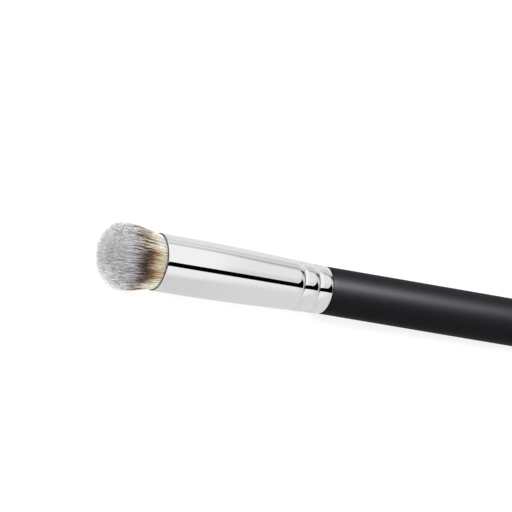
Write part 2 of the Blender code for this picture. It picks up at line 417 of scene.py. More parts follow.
def handle_outline():
    """(radius, height) of the whole handle, from the tenon's top down to the butt.

    Above the belly the radius falls to the neck's with the 1.2th power of the share of the way, below it
    to the tail's with the square, and the butt is a quarter ellipse down to a small flat.
    """
    top = TENON_LENGTH
    tenon_height = np.array([top, top, top - 2 * TENON_CHAMFER, GLUE_TOP, GLUE_FOOT, GLUE_FOOT])
    tenon = tenon_radius(tenon_height) - GLUE_INSET
    tenon[1] -= TENON_CHAMFER
    tenon[-1] += GLUE_INSET
    tenon[0] = 0
    groove_depth = groove_rows()
    groove_depth = groove_depth[groove_depth < FERRULE_LENGTH]
    groove_height = FERRULE_LENGTH - groove_depth
    grooved = tenon_radius(groove_height) - crimp_inset(groove_depth)

    neck_edge = HANDLE_LENGTH - JOINT_GAP
    round_angle = np.linspace(0, math.pi / 2, 7)
    neck_radius = NECK_RADIUS - NECK_ROUND * (1 - np.sin(round_angle))
    neck_height = neck_edge - NECK_ROUND * (1 - np.cos(round_angle))
    high = np.linspace(neck_edge - NECK_ROUND, BELLY_HEIGHT, 60)[1:]
    rise = (high - BELLY_HEIGHT) / (HANDLE_LENGTH - BELLY_HEIGHT)
    high_radius = BELLY_RADIUS - (BELLY_RADIUS - NECK_RADIUS) * rise**1.2
    low = np.linspace(BELLY_HEIGHT, BUTT_HEIGHT, 60)[1:]
    fall = (BELLY_HEIGHT - low) / (BELLY_HEIGHT - BUTT_HEIGHT)
    low_radius = BELLY_RADIUS - (BELLY_RADIUS - TAIL_RADIUS) * fall**2
    butt_angle = np.linspace(0, math.pi / 2, 24)[1:]
    butt_radius = FLAT_RADIUS + (TAIL_RADIUS - FLAT_RADIUS) * np.cos(butt_angle)
    butt_height = BUTT_HEIGHT * (1 - np.sin(butt_angle))

    parts = (
        (tenon, HANDLE_LENGTH + tenon_height),
        (grooved, HANDLE_LENGTH + groove_height),
        (grooved[-1:], [neck_edge]),
        (neck_radius, neck_height),
        (high_radius, high),
        (low_radius, low),
        (butt_radius, butt_height),
        ([0], [0]),
    )
    return tuple(np.concatenate(values) for values in zip(*parts))


def lacquer_material(settings):
    """Satin black nitrocellulose lacquer, sprayed on turned and sanded hardwood.

    It gives one broad soft highlight. The spray leaves a fine orange peel, here 0.5 mm across, and its
    dull spots, 3 mm across, make the highlight a little uneven.
    """
    material, tree = new_material("sprayed_satin_lacquer")
    place = add_node(tree, "TexCoord").outputs["Object"]
    peel = add_node(tree, "TexNoise", {"Vector": place, "Scale": 1 / (0.5 * MM), "Detail": 2.0})
    bump = add_node(tree, "Bump", {"Height": peel, "Strength": 0.12, "Distance": 0.02 * MM})
    cloud = add_node(tree, "TexNoise", {"Vector": place, "Scale": 1 / (3 * MM), "Detail": 3.0})
    low, high = settings.satin - 0.04, settings.satin + 0.04
    rough = add_node(tree, "MapRange", {"Value": cloud, "To Min": low, "To Max": high})
    look = {
        "Base Color": (*settings.colour, 1),
        "Roughness": rough,
        "Specular IOR Level": 0.03,
        "Normal": bump,
    }
    add_node(tree, "OutputMaterial", {"Surface": add_node(tree, "BsdfPrincipled", look)})
    return material


class BRUSH_OT_handle(bpy.types.Operator):
    """Turn the handle with its tenon, belly and rounded butt"""

    bl_idname = "brush.handle"
    bl_label = "Handle"

    def execute(self, context):
        radius, height = handle_outline()
        lacquer = lacquer_material(context.scene.brush_handle)
        stick = turned("handle_stick", radius, height, lacquer, closed=False)
        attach(stick, "root")
        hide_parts("handle")
        return {"FINISHED"}


# The bundle of hair from its root in the ferrule to the trimmed dome
ROOT_RADIUS = 5.5 * MM
ROOT_DEPTH = 10 * MM
ROOT_THICKNESS = 3 * MM
LIP_RADIUS = 6.6 * MM
BULGE_RADIUS = 7.8 * MM
BULGE_REACH = 8.35 * MM
DOME_HEIGHT = 6.6 * MM
SLANT = math.tan(math.radians(12.6))
SLANT_HEADING = math.radians(-37)
TABLE_PRESS = 0.4 * MM

# Filaments draw together in their tuft and its clump, and their waves grow to full height over the first
# millimetres. The second wave is a little shorter than the first, and a tip keeps a share of the width.
TUFT_GATHER = 0.15
CLUMP_PULL = 0.15
CRIMP_RISE = 3 * MM
WAVE_RATIO = 1.17
TIP_WIDTH = 0.3

# How far they stray at the bulge: a tuft's lean, a filament's splay, and the sag of them all. On average
# they end this far under the dome, and no tip stands out by more than so many scatters.
TUFT_LEAN = 0.06 * MM
SPLAY = 0.2 * MM
SAG = 0.16 * MM
TRIM = 0.3 * MM
LONGEST = 1.3

# Places on the rim in degrees: the evenly dyed side, the way of the painted shade's streaks, the side on
# which the band lies deepest, and the side away from which the hair sags
EVEN_SIDE = 3
STREAK_WAY = 23
DEEP_SIDE = 38
SAG_FROM = 113

GOLDEN_ANGLE = math.pi * (3 - math.sqrt(5))
OUTER_SHARE = 0.8

# The hair's map: its length from the tip, the dark band's depth in it, its steps of tone and how wide a
# filament lies in it
HAIR_MAP_LENGTH = 12 * MM
BAND_DEPTH = 4.2 * MM
TONE_STEPS = 20
MAP_SPREAD = 0.002

# Dyeing and painted shade: tone and lightness go from 0 to 1, and a shift is how many mm nearer to the tip
# the band lies. Tone and shift are dye, and the lightness is partly the filaments' own and partly painted
# shade. Each has a mean or a slope, a smooth drift, and spreads of clumps, tufts and single filaments.
TONE_MEAN, TONE_DRIFT, TONE_CLUMP, TONE_TUFT, TONE_FIBRE = 0.08, 0.1, 0.1, 0.32, 0.1
SHADE_MEAN, SHADE_DRIFT, SHADE_TUFT, SHADE_FIBRE = 0.5, 0.22, 0.05, 0.04
SHIFT_SLOPE, SHIFT_DRIFT, SHIFT_CLUMP, SHIFT_TUFT, SHIFT_FIBRE = 2.2, 0.2, 0.25, 0.6, 0.6

# Uneven dyeing and painted light and shade: where on the disc a soft spot lies, as angle and radius, its
# width, and what it adds to the tone, the lightness and the shift. What it adds to the lightness is painted
# light and shade, such as a painted highlight on the dome's upper side and painted shade in its middle.
DYE_AND_SHADE_SPOTS = (
    (3, 1.0, 0.55, 0.66, 0.0, 0.0),
    (205, 1.0, 0.8, 0.5, 0.0, 0.0),
    (285, 1.0, 0.4, 0.3, 0.0, 0.0),
    (44, 1.0, 0.14, 0.4, 0.0, 0.0),
    (113, 1.0, 0.63, -0.15, 0.0, 0.0),
    (50, 0.95, 0.28, 0.03, 0.4, 0.0),
    (10, 0.32, 0.38, 0.0, -0.26, 0.0),
    (24, 0.95, 0.26, 0.0, 0.27, -0.3),
    (-21, 1.0, 0.2, -0.15, 0.36, -0.5),
    (2, 1.0, 0.2, 0.08, 0.0, 0.35),
    (-48, 0.95, 0.3, 0.08, 0.12, 0.3),
    (70, 1.0, 0.25, 0.08, 0.0, 0.0),
    (95, 1.0, 0.3, 0.0, -0.2, 0.0),
)

# Dye colours by millimetres from the tip: a pale run, the usual one, and a warmer one of some tufts
PALE_TONES = (
    (0.0, "E6E5E8"),
    (2.0, "D4D0D4"),
    (3.0, "B8AFAB"),
    (4.0, "B0A396"),
    (5.0, "CFC1AD"),
    (6.2, "EFE4D3"),
    (7.8, "F8F0E4"),
    (9.5, "F9F1E5"),
)
USUAL_TONES = (
    (0.0, "E4E3E6"),
    (1.2, "DBDADE"),
    (2.0, "C4BFC4"),
    (2.8, "8A837E"),
    (3.5, "423A36"),
    (4.7, "2C251D"),
    (5.5, "6C573C"),
    (6.5, "CBAA80"),
    (7.6, "F1DABA"),
    (9.5, "F6E6CF"),
)
WARM_TONES = (
    (0.0, "E4E3E5"),
    (1.4, "DBD9DB"),
    (2.3, "C4BCBC"),
    (3.2, "8A786C"),
    (4.0, "584536"),
    (5.0, "684A31"),
    (6.2, "9C7249"),
    (7.2, "D2A776"),
    (8.4, "F1D8B4"),
    (9.8, "F6E5CC"),
)


def rim_spot(angle):
    """The disc's rim at an angle in degrees, turned upwards from the side that faces the camera."""
    return np.array([math.sin(math.radians(angle)), -math.cos(math.radians(angle))])


def sunflower(count):
    """Evenly spread points of the unit disc: the k-th of n lies at radius sqrt((k + 0.5) / n), k golden
    angles round.
    """
    index = np.arange(count)
    radius, angle = np.sqrt((index + 0.5) / count), index * GOLDEN_ANGLE
    return np.stack([radius * np.cos(angle), radius * np.sin(angle)], -1)


def drift(spot, rng, slowest, fastest):
    """A smooth random height over the disc: the sum of 24 plane waves of random way, length and phase,
    scaled to a spread of about one.
    """
    way = rng.uniform(0, 2 * math.pi, 24)
    pace = rng.uniform(slowest, fastest, 24)
    waves = np.stack([pace * np.cos(way), pace * np.sin(way)])
    return np.cos(spot @ waves + rng.uniform(0, 2 * math.pi, 24)).sum(-1) / math.sqrt(12)


def bundle_radius(reach):
    """Radius of the bundle: from the lip it widens to the bulge with a quarter sine, and inside the
    ferrule it narrows evenly to the root.
    """
    swell = np.sin(math.pi / 2 * np.clip(reach / BULGE_REACH, 0, 1))
    outside = LIP_RADIUS + (BULGE_RADIUS - LIP_RADIUS) * swell
    inside = ROOT_RADIUS + (LIP_RADIUS - ROOT_RADIUS) * np.clip(1 + reach / ROOT_DEPTH, 0, 1)
    return np.where(reach > 0, outside, inside)


def tip_reach(spot):
    """Reach of the trimmed surface over a spot of the disc: the bulge, plus an ellipsoid dome, plus the
    slant times how far the spot lies towards its high side.
    """
    inside = 1 - np.minimum(1, (spot**2).sum(-1))
    uphill = spot[..., 0] * math.cos(SLANT_HEADING) + spot[..., 1] * math.sin(SLANT_HEADING)
    return BULGE_REACH + DOME_HEIGHT * np.sqrt(inside) + BULGE_RADIUS * SLANT * uphill


def dye_and_shade_tufts(spot, clump, clumps, evenness, rng):
    """Each tuft's tone, its lightness with painted shade, and the shift of its dark band in mm.

    Each is the sum of a smooth drift over the disc, random parts of the tuft and of its clump, and the
    spots, which fade with the square of the distance as exp(-(d / w)^2). Lightness drifts over a disc
    that is squeezed along one line, so it changes in streaks along that line: painted shade for the
    shadows between clumps of tips. What the spots add to the lightness is painted light and shade. The
    band also lies on a slope over the disc.
    """
    count = len(spot)
    tone = TONE_MEAN + TONE_DRIFT * drift(spot, rng, 5, 16)
    tone += rng.normal(0, TONE_TUFT * (1 - 0.5 * evenness))
    tone += rng.normal(0, TONE_CLUMP, clumps)[clump]
    # Painted shade: lightness streaks along one line, for the shadows between clumps of tips
    streak = rim_spot(STREAK_WAY)
    combed = spot - 0.85 * (spot @ streak)[:, None] * streak
    shade = SHADE_MEAN + SHADE_DRIFT * drift(combed, rng, 20, 90) + rng.normal(0, SHADE_TUFT, count)
    shift = SHIFT_DRIFT * drift(spot, rng, 5, 14) + rng.normal(0, SHIFT_TUFT, count)
    shift += rng.normal(0, SHIFT_CLUMP, clumps)[clump]
    shift += SHIFT_SLOPE * (0.5 - spot @ rim_spot(DEEP_SIDE))
    # What a spot adds to the lightness is painted light and shade
    for angle, out, width, more_tone, painted_shading, more_shift in DYE_AND_SHADE_SPOTS:
        weight = np.exp(-((spot - out * rim_spot(angle)) ** 2).sum(-1) / width**2)
        tone += more_tone * weight
        shade += painted_shading * weight
        shift += more_shift * weight
    return tone, shade, shift


def fibre_bundle(name, fibres, steps, settings, material):
    """Three-sided filaments as one mesh, from their arrays and shared steps of reach.

    A filament's middle at reach z is R(z) times its spot in the disc, drawn towards its tuft's middle
    and its clump's near the tip, plus a wave of sines in z whose phase is the tuft's. A height h over the
    table becomes (h + sqrt(h^2 + p^2)) / 2, so the lowest filaments lie on it. Each ring is a triangle.
    The map's u is the filament's tone and its lightness, which carries painted shade, and its v the
    distance from its tip, moved by the band's shift.
    """
    tip, tone, random = fibres["tip"][:, None], fibres["tone"], fibres["random"]
    reach = np.where(steps < 0, steps * ROOT_DEPTH, steps * tip)
    outward = reach / BULGE_REACH
    gather = 1 - TUFT_GATHER * np.clip(outward, 0, 1) ** 2
    spot = fibres["tuft"][:, None] + (fibres["spot"] - fibres["tuft"])[:, None] * gather[..., None]
    pull = CLUMP_PULL * np.clip(outward, 0, 1.5) ** 2
    spot = spot + fibres["draw"][:, None] * pull[..., None]
    middle = spot * bundle_radius(reach)[..., None]
    wave = settings.crimp_height * np.clip(reach / CRIMP_RISE, 0, 1)
    phase = 2 * math.pi * reach / settings.crimp_wave
    start = fibres["phase"] + random[:, :2]
    middle[..., 0] += wave * np.sin(phase + start[:, :1])
    middle[..., 1] += wave * np.sin(WAVE_RATIO * phase + start[:, 1:])
    middle += fibres["lean"][:, None] * (np.clip(outward, 0, 2) ** 2)[..., None]
    height = LIP_HEIGHT + reach
    over_table = BUTT[2] + middle[..., 0] * TOP[2] + height * UP_AXIS[2]
    lifted = (over_table + np.sqrt(over_table**2 + TABLE_PRESS**2)) / 2
    middle[..., 0] += (lifted - over_table) / TOP[2]
    taper = np.clip((tip - reach) / settings.taper_length, 0, 1)
    width = settings.fibre_width / 2 * (TIP_WIDTH + (1 - TIP_WIDTH) * np.sqrt(taper))
    turn = 2 * math.pi * (np.arange(3) / 3 + random[:, 2:])[:, None]
    x = middle[..., 0, None] + width[..., None] * np.cos(turn)
    y = middle[..., 1, None] + width[..., None] * np.sin(turn)
    points = in_row(x, y, height[..., None])

    rings = len(steps)
    first = np.arange(len(tip))[:, None] * rings * 3
    ring = first[..., None] + np.arange(rings - 1)[:, None] * 3
    here, beside = ring + np.arange(3), ring + (np.arange(3) + 1) % 3
    quads = np.stack([here, beside, beside + 3, here + 3], -1)
    triangles = np.concatenate([first + [2, 1, 0], first + (rings - 1) * 3 + [0, 1, 2]])
    made = put_mesh(name, points, quads, triangles, material)

    # The shift is held short of the band's depth, so that the map never runs backwards
    from_tip = tip - reach
    shift = np.maximum(fibres["shift"][:, None], -0.85 * BAND_DEPTH)
    from_tip = from_tip + shift * np.minimum(1, from_tip / BAND_DEPTH)
    along = np.clip(from_tip / HAIR_MAP_LENGTH, 0.002, 0.998)
    spread = MAP_SPREAD * np.array([-1, 0, 1])
    u = np.broadcast_to(tone[:, None, None] + spread, here.shape)
    low = np.stack([u, np.broadcast_to(along[:, :-1, None], u.shape)], -1)
    high = np.stack([u, np.broadcast_to(along[:, 1:, None], u.shape)], -1)
    around = [1, 2, 0]
    maps = [np.stack([low, low[:, :, around], high[:, :, around], high], -2).ravel()]
    for end, order in ((0, [2, 1, 0]), (-1, [0, 1, 2])):
        v = along[:, end, None] + MAP_SPREAD * np.array([0, 1, 0])
        maps.append(np.stack([tone[:, None] + spread[order], v], -1).ravel())
    layer = made.data.uv_layers.new(name="OFBake")
    layer.uv.foreach_set("vector", np.concatenate(maps).astype(np.float32))
    return made


def filament_material():
    """Crimped PBT filament, melt-spun and dyed in three tones, dull from its fine waves.

    The map's v is the distance from the tip: grey-white, then a dark brown band, then cream down to the
    lip. Its u holds two things: in whole steps the tone, from pale over the usual run to a warmer one,
    and within a step the filament's lightness, partly its own and partly painted light and shade. So
    neighbours differ a little, and a few are redder.
    """
    material, tree = new_material("dyed_filament_with_painted_shade")
    split = add_node(tree, "SeparateXYZ", {"Vector": add_node(tree, "UVMap", uv_map="OFBake")}).outputs
    dyes = []
    for tones in (PALE_TONES, USUAL_TONES, WARM_TONES):
        dye = add_node(tree, "ValToRGB", {"Fac": split["Y"]})
        stops = dye.color_ramp.elements
        stops.remove(stops[1])
        for from_tip, colour in tones:
            stop = stops.new(from_tip * MM / HAIR_MAP_LENGTH) if from_tip else stops[0]
            stop.position, stop.color = from_tip * MM / HAIR_MAP_LENGTH, (*linear(colour), 1)
        dyes.append(dye)
    depth = add_node(tree, "MapRange", {"Value": split["X"], "From Min": 0.1, "From Max": 0.4})
    dyed = add_node(tree, "Mix", {"Factor": depth, "A": dyes[0], "B": dyes[1]}, data_type="RGBA")
    warmth = add_node(tree, "MapRange", {"Value": split["X"], "From Min": 0.6, "From Max": 0.95})
    hue = add_node(tree, "Mix", {"Factor": warmth, "A": dyed, "B": dyes[2]}, data_type="RGBA")
    # Within a step, the filament's lightness, partly its own and partly painted light and shade, scales its
    # colour
    steps = add_node(tree, "Math", {0: split["X"], 1: TONE_STEPS}, operation="MULTIPLY")
    shade_in_step = add_node(tree, "Math", {0: steps}, operation="FRACT")
    strength = add_node(tree, "MapRange", {"Value": shade_in_step, "To Min": 0.6, "To Max": 1.12})
    toned = add_node(tree, "VectorMath", {0: hue, "Scale": strength}, operation="SCALE")
    look = {
        "Base Color": toned,
        "Roughness": 0.65,
        "Specular IOR Level": 0.35,
        "Sheen Weight": 0.18,
        "Sheen Roughness": 0.5,
        "Subsurface Weight": 1.0,
        "Subsurface Radius": (1, 1, 1),
        "Subsurface Scale": 0.12 * MM,
        "Subsurface Anisotropy": 0.8,
    }
    add_node(tree, "OutputMaterial", {"Surface": add_node(tree, "BsdfPrincipled", look)})
    return material


class BRUSH_OT_hair(bpy.types.Operator):
    """Grow the head of hair: waved filaments in tufts, under a slanted dome"""

    bl_idname = "brush.hair"
    bl_label = "Hair"

    def execute(self, context):
        settings = context.scene.brush_hair
        rng = np.random.default_rng(11)
        count, each, clumps = settings.tufts, settings.tuft_fibres, settings.clumps
        tuft_spot = sunflower(count) * (1 - 0.6 / math.sqrt(count))
        clump_spot = sunflower(clumps)
        clump = ((tuft_spot[:, None] - clump_spot) ** 2).sum(-1).argmin(-1)
        phase = rng.uniform(0, 2 * math.pi, (count, 2))
        lean = rng.normal(0, TUFT_LEAN, (count, 2))
        tuft_tip = rng.normal(0, 0.35, clumps)[clump] + rng.normal(0, 0.4, count)

        # The side that faces the camera is dyed more evenly
        evenness = np.exp(-((tuft_spot - rim_spot(EVEN_SIDE)) ** 2).sum(-1) / 0.3)
        tuft_tone, tuft_shade, tuft_shift = dye_and_shade_tufts(tuft_spot, clump, clumps, evenness, rng)

        # A tuft's fibres form a small sunflower, turned at random
        turn = rng.uniform(0, 2 * math.pi, count)[:, None]
        across, along = (sunflower(each) / math.sqrt(count)).T
        places = [across * np.cos(turn) - along * np.sin(turn), across * np.sin(turn) + along * np.cos(turn)]
        spot = (tuft_spot[:, None] + np.stack(places, -1)).reshape(-1, 2)
        owner = np.repeat(np.arange(count), each)
        total = len(owner)
        tip = tip_reach(spot) - TRIM + (tuft_tip * settings.tip_scatter)[owner]
        tip += np.minimum(rng.normal(0, 1, total), LONGEST) * settings.tip_scatter
        tone = np.clip(tuft_tone[owner] + rng.normal(0, TONE_FIBRE, total), 0.01, 0.99)
        shade = np.clip(tuft_shade[owner] + rng.normal(0, SHADE_FIBRE, total), 0.06, 0.94)
        splay = rng.normal(0, SPLAY, (total, 2)) - SAG * rim_spot(SAG_FROM)
        own_shift = rng.normal(0, 1, total) * (SHIFT_FIBRE - 0.25 * evenness[owner])
        fibres = {
            "tuft": tuft_spot[owner],
            "draw": (clump_spot[clump] - tuft_spot)[owner],
            "phase": phase[owner],
            "lean": lean[owner] + splay,
            "spot": spot,
            "tip": tip,
            # The map's u: the tone in whole steps and, within a step, the lightness with its painted shade
            "tone": (np.floor(tone * TONE_STEPS) + shade) / TONE_STEPS,
            "shift": (tuft_shift[owner] + own_shift) * MM,
            "random": np.stack(
                [rng.normal(0, 0.7, total), rng.normal(0, 0.7, total), rng.uniform(0, 1, total)], -1
            ),
        }

        # The outer fibres show and get more steps than the inner ones
        material = filament_material()
        out = np.sqrt((tuft_spot**2).sum(-1))[owner]
        angle = np.arctan2(spot[:, 1], spot[:, 0]) / (2 * math.pi) % 1
        fine = np.concatenate([[-1], np.linspace(0, 1, 18)])
        plain = np.array([-1, 0, 0.45, 0.62, 0.74, 0.84, 0.92, 1.0])
        layers = (("outer", out > OUTER_SHARE, 6, fine), ("inner", out <= OUTER_SHARE, 4, plain))
        for layer, inside, pieces, steps in layers:
            for index in range(pieces):
                mine = inside & (angle * pieces // 1 == index)
                part = {key: values[mine] for key, values in fibres.items()}
                piece = fibre_bundle(f"hair_{layer}_{index + 1}", part, steps, settings, material)
                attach(piece, "root")
                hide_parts("bristles")
        return {"FINISHED"}


class BRUSH_OT_root(bpy.types.Operator):
    """Set the pressed root slice of the bundle inside the ferrule"""

    bl_idname = "brush.root"
    bl_label = "Hair root"

    def execute(self, context):
        chamfer = 0.2 * MM
        edge = ROOT_RADIUS - chamfer
        radius = np.array([0, edge, ROOT_RADIUS, ROOT_RADIUS, edge, 0])
        below = np.array([0, 0, chamfer, ROOT_THICKNESS - chamfer, ROOT_THICKNESS, ROOT_THICKNESS])
        material = bpy.data.materials["dyed_filament_with_painted_shade"]
        root = turned("hair_root", radius, LIP_HEIGHT - ROOT_DEPTH - below, material, closed=False)

        # Its map is the cream end of the dye, with a little of every tone across the slice
        points = np.empty(len(root.data.vertices) * 3, np.float32)
        vertex = np.empty(len(root.data.loops), np.int32)
        root.data.vertices.foreach_get("co", points)
        root.data.loops.foreach_get("vertex_index", vertex)
        across, up = (points.reshape(-1, 3)[vertex, 1:] - BUTT[1:]).T / ROOT_RADIUS
        places = np.stack([0.5 + 0.4 * across, 0.95 + 0.04 * up], -1)
        layer = root.data.uv_layers.new(name="OFBake")
        layer.uv.foreach_set("vector", places.astype(np.float32).ravel())
        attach(root, "root")
        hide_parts("bristles")
        return {"FINISHED"}


# What the ferrule hides: material, two colours, size of grain, roughness and height of the grain. Cured
# epoxy is glassy and amber, cotton thread dull with a lay of twisted yarn, and dried wood glue waxy.
HIDDEN_FINISHES = {
    "epoxy_plug": ("cured_amber_epoxy", "A8874A", "C9A763", 1.2 * MM, 0.22, 0.01 * MM),
    "binding_thread": ("twisted_waxed_cotton", "CFC3A6", "E6DDC7", 0.12 * MM, 0.8, 0.04 * MM),
    "tenon_glue": ("dried_wood_glue", "CDBB8E", "DDD0A9", 0.6 * MM, 0.45, 0.02 * MM),
}


def hidden_material(name, dark, light, grain, roughness, bump_height):
    """Two close tones mixed by a noise of one grain size, with a bump of the same grain."""
    material, tree = new_material(name)
    place = add_node(tree, "TexCoord").outputs["Object"]
    noise = add_node(tree, "TexNoise", {"Vector": place, "Scale": 1 / grain, "Detail": 4.0})
    colours = {"A": (*linear(dark), 1), "B": (*linear(light), 1)}
    tone = add_node(tree, "Mix", {"Factor": noise, **colours}, data_type="RGBA")
    bump = add_node(tree, "Bump", {"Height": noise, "Strength": 0.6, "Distance": bump_height})
    look = {"Base Color": tone, "Roughness": roughness, "Normal": bump}
    add_node(tree, "OutputMaterial", {"Surface": add_node(tree, "BsdfPrincipled", look)})
    return material


class BRUSH_OT_inside(bpy.types.Operator):
    """Finish the plug, the binding thread and the glue that stay as the CAD model has them"""

    bl_idname = "brush.inside"
    bl_label = "Inside pieces"

    def execute(self, context):
        for node, finish in HIDDEN_FINISHES.items():
            material = hidden_material(*finish)
            for slot in frame["nodes"][node].material_slots:
                slot.material = material
        return {"FINISHED"}


# The camera's place from the lip, along the axis to the butt, to the side and to the top
CAMERA_FROM_LIP = np.array([-224.83, -433.35, 188.05]) * MM
CAMERA_TURN = math.radians(-30)
CAMERA_TILT = math.radians(20)
CAMERA_ROLL = math.radians(21.16)

# Planes through the brush and each straight edge in the reflected room, as normals along the axis to the
# butt, the side and the top. A direction's height over an edge is its dot product with the normal.
ROOM_PLANES = {
    "rearward": (1.0, 0.0, 0.0),
    "upward": (0.0, 0.0, 1.0),
    "card_top": (-0.176, 0.451, 0.875),
    "card_foot": (-0.081, 0.261, 0.962),
    "first_seam": (-0.544, -0.631, 0.553),
    "second_seam": (-0.436, -0.499, 0.749),
    "sweep": (-0.773, -0.523, 0.358),
    "ahead": (1.0, 0.367, -0.159),
}

# The room's level in each direction, row by row: a value's name, how it is worked out, and the numbers or
# earlier values that go in. STEP goes smoothly from its fourth to its fifth entry while its first goes from
# the second to the third, and MIX goes from its second to its third entry with its first.
ROOM_LEVELS = (
    ("rear", "STEP", "rearward", 0.47, 0.53, 0.0, 1.0),
    ("far", "STEP", "rearward", 0.58, 0.72, 0.0, 1.0),
    ("flare", "SUBTRACT", "rearward", 0.54),
    ("flare", "MAXIMUM", "flare", 0.0),
    # The black card, whose upper edge lifts to a peak near its end
    ("fall", "SUBTRACT", 0.834, "rearward"),
    ("fall", "MULTIPLY", "fall", 2.2),
    ("lift", "MULTIPLY", "flare", 1.6),
    ("lift", "MINIMUM", "lift", "fall"),
    ("above_card", "SUBTRACT", "card_top", "lift"),
    ("above_foot", "MULTIPLY_ADD", "flare", 0.2, "card_foot"),
    ("over_card", "STEP", "above_card", 0.004, 0.028, 0.0, 1.0),
    ("over_foot", "STEP", "above_foot", -0.028, -0.004, 0.0, 1.0),
    ("card_end", "STEP", "rearward", 0.81, 0.88, 1.0, 0.0),
    ("card", "SUBTRACT", "over_foot", "over_card"),
    ("card", "MULTIPLY", "card", "card_end"),
    # Above it a bright panel that is duller near the card, then two narrower ones
    ("dusk", "STEP", "above_card", 0.16, 0.36, 0.125, 0.0),
    ("dusk_start", "STEP", "rearward", 0.478, 0.5, 0.0, 1.0),
    ("dusk", "MULTIPLY", "dusk", "dusk_start"),
    ("upper", "STEP", "rearward", 0.46, 0.52, 1.0, 0.885),
    ("upper", "SUBTRACT", "upper", "dusk"),
    ("middle", "STEP", "rearward", 0.42, 0.54, 0.86, 0.71),
    ("past_first", "STEP", "first_seam", -0.02, 0.02, 0.0, 1.0),
    ("upper", "MIX", "past_first", "middle", "upper"),
    ("second_bent", "MULTIPLY_ADD", "rear", 0.04, "second_seam"),
    ("past_second", "STEP", "second_bent", -0.03, 0.03, 0.0, 1.0),
    ("upper", "MIX", "past_second", 0.85, "upper"),
    # The first seam's dark line drifts, widens and deepens towards the butt
    ("drop", "SUBTRACT", "rearward", 0.6),
    ("drop", "MAXIMUM", "drop", 0.0),
    ("drop", "MULTIPLY", "drop", -1.18),
    ("centre", "MULTIPLY_ADD", "rear", 0.02, "drop"),
    ("width", "MULTIPLY_ADD", "rear", 0.015, 0.105),
    ("width", "MULTIPLY_ADD", "far", 0.085, "width"),
    ("offset", "SUBTRACT", "first_seam", "centre"),
    ("offset", "ABSOLUTE", "offset"),
    ("offset", "DIVIDE", "offset", "width"),
    ("line", "STEP", "offset", 0.0, 1.0, 1.0, 0.0),
    ("depth", "MULTIPLY_ADD", "rear", 0.1, 0.34),
    ("depth", "MULTIPLY_ADD", "far", 0.56, "depth"),
    ("line", "MULTIPLY", "line", "depth"),
    ("left", "SUBTRACT", 1.0, "line"),
    ("upper", "MULTIPLY", "upper", "left"),
    # The second seam's line is narrow and fades towards the butt
    ("offset", "ABSOLUTE", "second_bent"),
    ("line", "STEP", "offset", 0.0, 0.08, 0.22, 0.0),
    ("fade", "STEP", "rearward", 0.5, 0.75, 1.0, 0.0),
    ("line", "MULTIPLY", "line", "fade"),
    ("left", "SUBTRACT", 1.0, "line"),
    ("upper", "MULTIPLY", "upper", "left"),
    # Below the card a bright strip and a grey sweep
    ("bright", "STEP", "rearward", 0.42, 0.54, 0.965, 0.94),
    ("grey", "STEP", "rearward", 0.42, 0.54, 0.705, 0.765),
    ("over_sweep", "STEP", "sweep", -0.09, 0.12, 0.0, 1.0),
    ("lower", "MIX", "over_sweep", "grey", "bright"),
    ("level", "MIX", "over_card", "lower", "upper"),
    ("left", "SUBTRACT", 1.0, "card"),
    ("level", "MULTIPLY", "level", "left"),
    # Ahead of the brush a dim room
    ("dim", "STEP", "upward", -0.1, 0.2, 0.6, 0.1),
    ("behind", "STEP", "ahead", -0.62, -0.45, 0.0, 1.0),
    ("level", "MIX", "behind", "dim", "level"),
)


def from_brush(vector):
    """A direction or offset that is given along the axis to the butt, the side and the top, in the row
    frame.
    """
    return -vector[0] * UP_AXIS + vector[1] * SIDE + vector[2] * TOP


def turned_way(tilt, turn):
    """A direction in brush axes: cos(tilt) along the axis to the butt, and sin(tilt) across it, turned
    upwards from the camera's side.
    """
    tilt, turn = math.radians(tilt), math.radians(turn)
    side = np.array([0.0, CAMERA_FROM_LIP[1], CAMERA_FROM_LIP[2]])
    side /= np.linalg.norm(side)
    over = np.cross(side, [1.0, 0.0, 0.0])
    across = math.cos(turn) * side + math.sin(turn) * over
    return math.cos(tilt) * np.array([1.0, 0.0, 0.0]) + math.sin(tilt) * across


def studio_world():
    """White to the camera. Polished metal sees a bright panel above, a grey sweep below and a black card
    between, and all else is lit by plain white.
    """
    world = bpy.data.worlds.new("white_studio")
    world.use_nodes = True
    tree = world.node_tree
    tree.nodes.clear()
    way = add_node(tree, "TexCoord").outputs["Generated"]
    room = {}
    for name, plane in ROOM_PLANES.items():
        normal = Vector(from_brush(plane))
        room[name] = add_node(tree, "VectorMath", {0: way, 1: normal}, operation="DOT_PRODUCT")
    for name, working, *given in ROOM_LEVELS:
        given = [room[value] if isinstance(value, str) else value for value in given]
        if working == "STEP":
            inputs = dict(zip(("Value", "From Min", "From Max", "To Min", "To Max"), given))
            room[name] = add_node(tree, "MapRange", inputs, interpolation_type="SMOOTHSTEP")
        elif working == "MIX":
            room[name] = add_node(tree, "Mix", dict(zip(("Factor", "A", "B"), given)), data_type="FLOAT")
        else:
            room[name] = add_node(tree, "Math", dict(enumerate(given)), operation=working)
    light = add_node(tree, "LightPath").outputs
    levels = {"Factor": light["Is Glossy Ray"], "A": 1.0, "B": room["level"]}
    seen = add_node(tree, "Mix", levels, data_type="FLOAT")
    rays = {0: light["Is Camera Ray"], 1: light["Is Transmission Ray"]}
    white = add_node(tree, "Math", rays, operation="MAXIMUM")
    strength = add_node(tree, "Mix", {"Factor": white, "A": seen, "B": 1.0}, data_type="FLOAT")
    background = add_node(tree, "Background", {"Color": (1, 1, 1, 1), "Strength": strength})
    add_node(tree, "OutputWorld", {"Surface": background})
    return world


